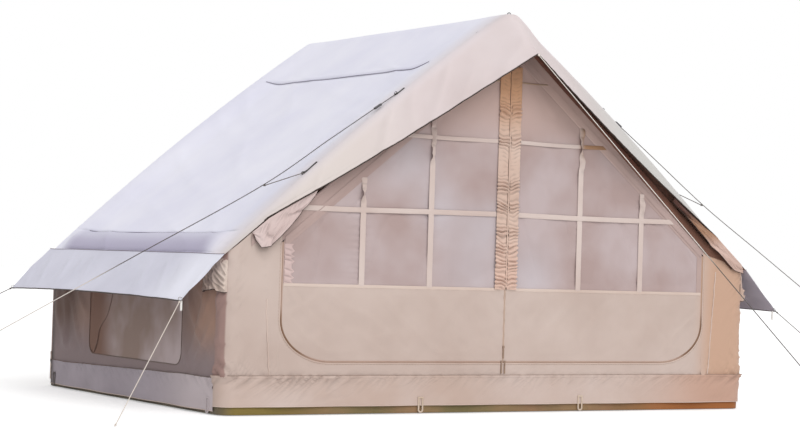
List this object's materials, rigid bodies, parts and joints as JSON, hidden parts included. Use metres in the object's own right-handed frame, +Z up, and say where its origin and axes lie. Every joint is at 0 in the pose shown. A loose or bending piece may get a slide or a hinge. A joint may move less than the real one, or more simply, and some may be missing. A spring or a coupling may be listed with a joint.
{
  "type": "inflatable tent",
  "caption": "Ridge tent held up by inflated arches and beams, with a peaked door canopy, side awnings, netted zip doors and guy ropes.",
  "frame": {"origin": "middle of the groundsheet's underside, on the ground", "axes": "+X to the right along the front wall, +Y from the front wall to the rear wall, +Z up"},
  "size_m": [4.5609, 4.3022, 1.9108],
  "materials": {
    "fly_cloth": "matte",
    "canopy_cloth": "matte",
    "wall_cloth": "matte",
    "air_beam_film": "satin",
    "groundsheet_film": "satin",
    "window_net": "matte",
    "strap_tape": "matte",
    "zip_coil": "satin",
    "slider_metal": "satin",
    "peg_webbing": "matte",
    "valve_plastic": "satin",
    "runner_plastic": "satin",
    "guy_rope": "matte"
  },
  "bodies": {
    "tent": {"groundsheet": "groundsheet_film", "front_air_arch": "air_beam_film", "rear_air_arch": "air_beam_film", "ridge_air_beam": "air_beam_film", "left_eave_air_beam": "air_beam_film", "right_eave_air_beam": "air_beam_film", "left_roof": "fly_cloth", "right_roof": "fly_cloth", "left_canopy": "canopy_cloth", "right_canopy": "canopy_cloth", "left_awning": "fly_cloth", "right_awning": "fly_cloth", "front_wall": "wall_cloth", "rear_wall": "wall_cloth", "left_wall": "wall_cloth", "right_wall": "wall_cloth", "front_skirt": "wall_cloth", "rear_skirt": "wall_cloth", "left_skirt": "wall_cloth", "right_skirt": "wall_cloth", "left_window_mesh": "window_net", "right_window_mesh": "window_net", "rear_window_mesh": "window_net", "door_edge_zip": "zip_coil", "front_left_peg_loop": "peg_webbing", "front_right_peg_loop": "peg_webbing", "left_front_corner_loop": "peg_webbing", "left_rear_corner_loop": "peg_webbing", "right_front_corner_loop": "peg_webbing", "right_rear_corner_loop": "peg_webbing", "air_valve": "valve_plastic", "canopy_tip_rope": "guy_rope", "left_guy_rope": "guy_rope", "left_guy_leg": "guy_rope", "right_guy_rope": "guy_rope", "right_guy_leg": "guy_rope", "left_front_awning_rope": "guy_rope", "left_rear_awning_rope": "guy_rope", "right_front_awning_rope": "guy_rope"},
    "left_door": {"left_door_panel": "wall_cloth", "left_door_mesh": "window_net", "left_door_straps": "strap_tape", "left_door_gathers": "strap_tape", "centre_zip": "zip_coil"},
    "right_door": {"right_door_panel": "wall_cloth", "right_door_mesh": "window_net", "right_door_straps": "strap_tape", "right_door_gathers": "strap_tape"},
    "centre_slider": {"centre_zip_slider": "slider_metal"},
    "left_slider": {"left_edge_slider": "slider_metal"},
    "right_slider": {"right_edge_slider": "slider_metal"},
    "left_flap": {"left_window_flap": "wall_cloth"},
    "right_flap": {"right_window_flap": "wall_cloth"},
    "rear_flap": {"rear_window_flap": "wall_cloth"},
    "cap": {"valve_cap": "valve_plastic"},
    "left_runner": {"left_guy_runner": "runner_plastic"},
    "right_runner": {"right_guy_runner": "runner_plastic"}
  },
  "joints": [
    {"name": "left_door_hinge", "type": "hinge", "parent": "tent", "child": "left_door", "pos_m": [-0.605, -1.0185, 1.2707], "axis": [0.778, 0, 0.6283], "range_deg": [0, 85]},
    {"name": "right_door_hinge", "type": "hinge", "parent": "tent", "child": "right_door", "pos_m": [0.605, -1.0185, 1.2707], "axis": [0.778, 0, -0.6283], "range_deg": [0, 85]},
    {"name": "centre_slider_slide", "type": "slide", "parent": "left_door", "child": "centre_slider", "axis": [0, 0, 1], "range_m": [0, 1.4]},
    {"name": "left_slider_slide", "type": "slide", "parent": "tent", "child": "left_slider", "axis": [-1, 0, 0], "range_m": [0, 0.92]},
    {"name": "right_slider_slide", "type": "slide", "parent": "tent", "child": "right_slider", "axis": [1, 0, 0], "range_m": [0, 0.92]},
    {"name": "left_flap_hinge", "type": "hinge", "parent": "tent", "child": "left_flap", "pos_m": [-1.4952, -0.07, 0.185], "axis": [0, 1, 0], "range_deg": [0, 100]},
    {"name": "right_flap_hinge", "type": "hinge", "parent": "tent", "child": "right_flap", "pos_m": [1.4952, -0.07, 0.185], "axis": [0, -1, 0], "range_deg": [0, 100]},
    {"name": "rear_flap_hinge", "type": "hinge", "parent": "tent", "child": "rear_flap", "pos_m": [0, 1.0152, 0.705], "axis": [1, 0, 0], "range_deg": [0, 170]},
    {"name": "valve_cap_hinge", "type": "hinge", "parent": "tent", "child": "cap", "pos_m": [1.3994, 1.0296, 0.327], "axis": [1, 0, 0], "range_deg": [0, 110]},
    {"name": "left_runner_slide", "type": "slide", "parent": "tent", "child": "left_runner", "axis": [-0.8337, -0.0124, -0.5521], "range_m": [0, 0.25]},
    {"name": "right_runner_slide", "type": "slide", "parent": "tent", "child": "right_runner", "axis": [0.8278, 0.0005, -0.561], "range_m": [0, 0.25]}
  ]
}
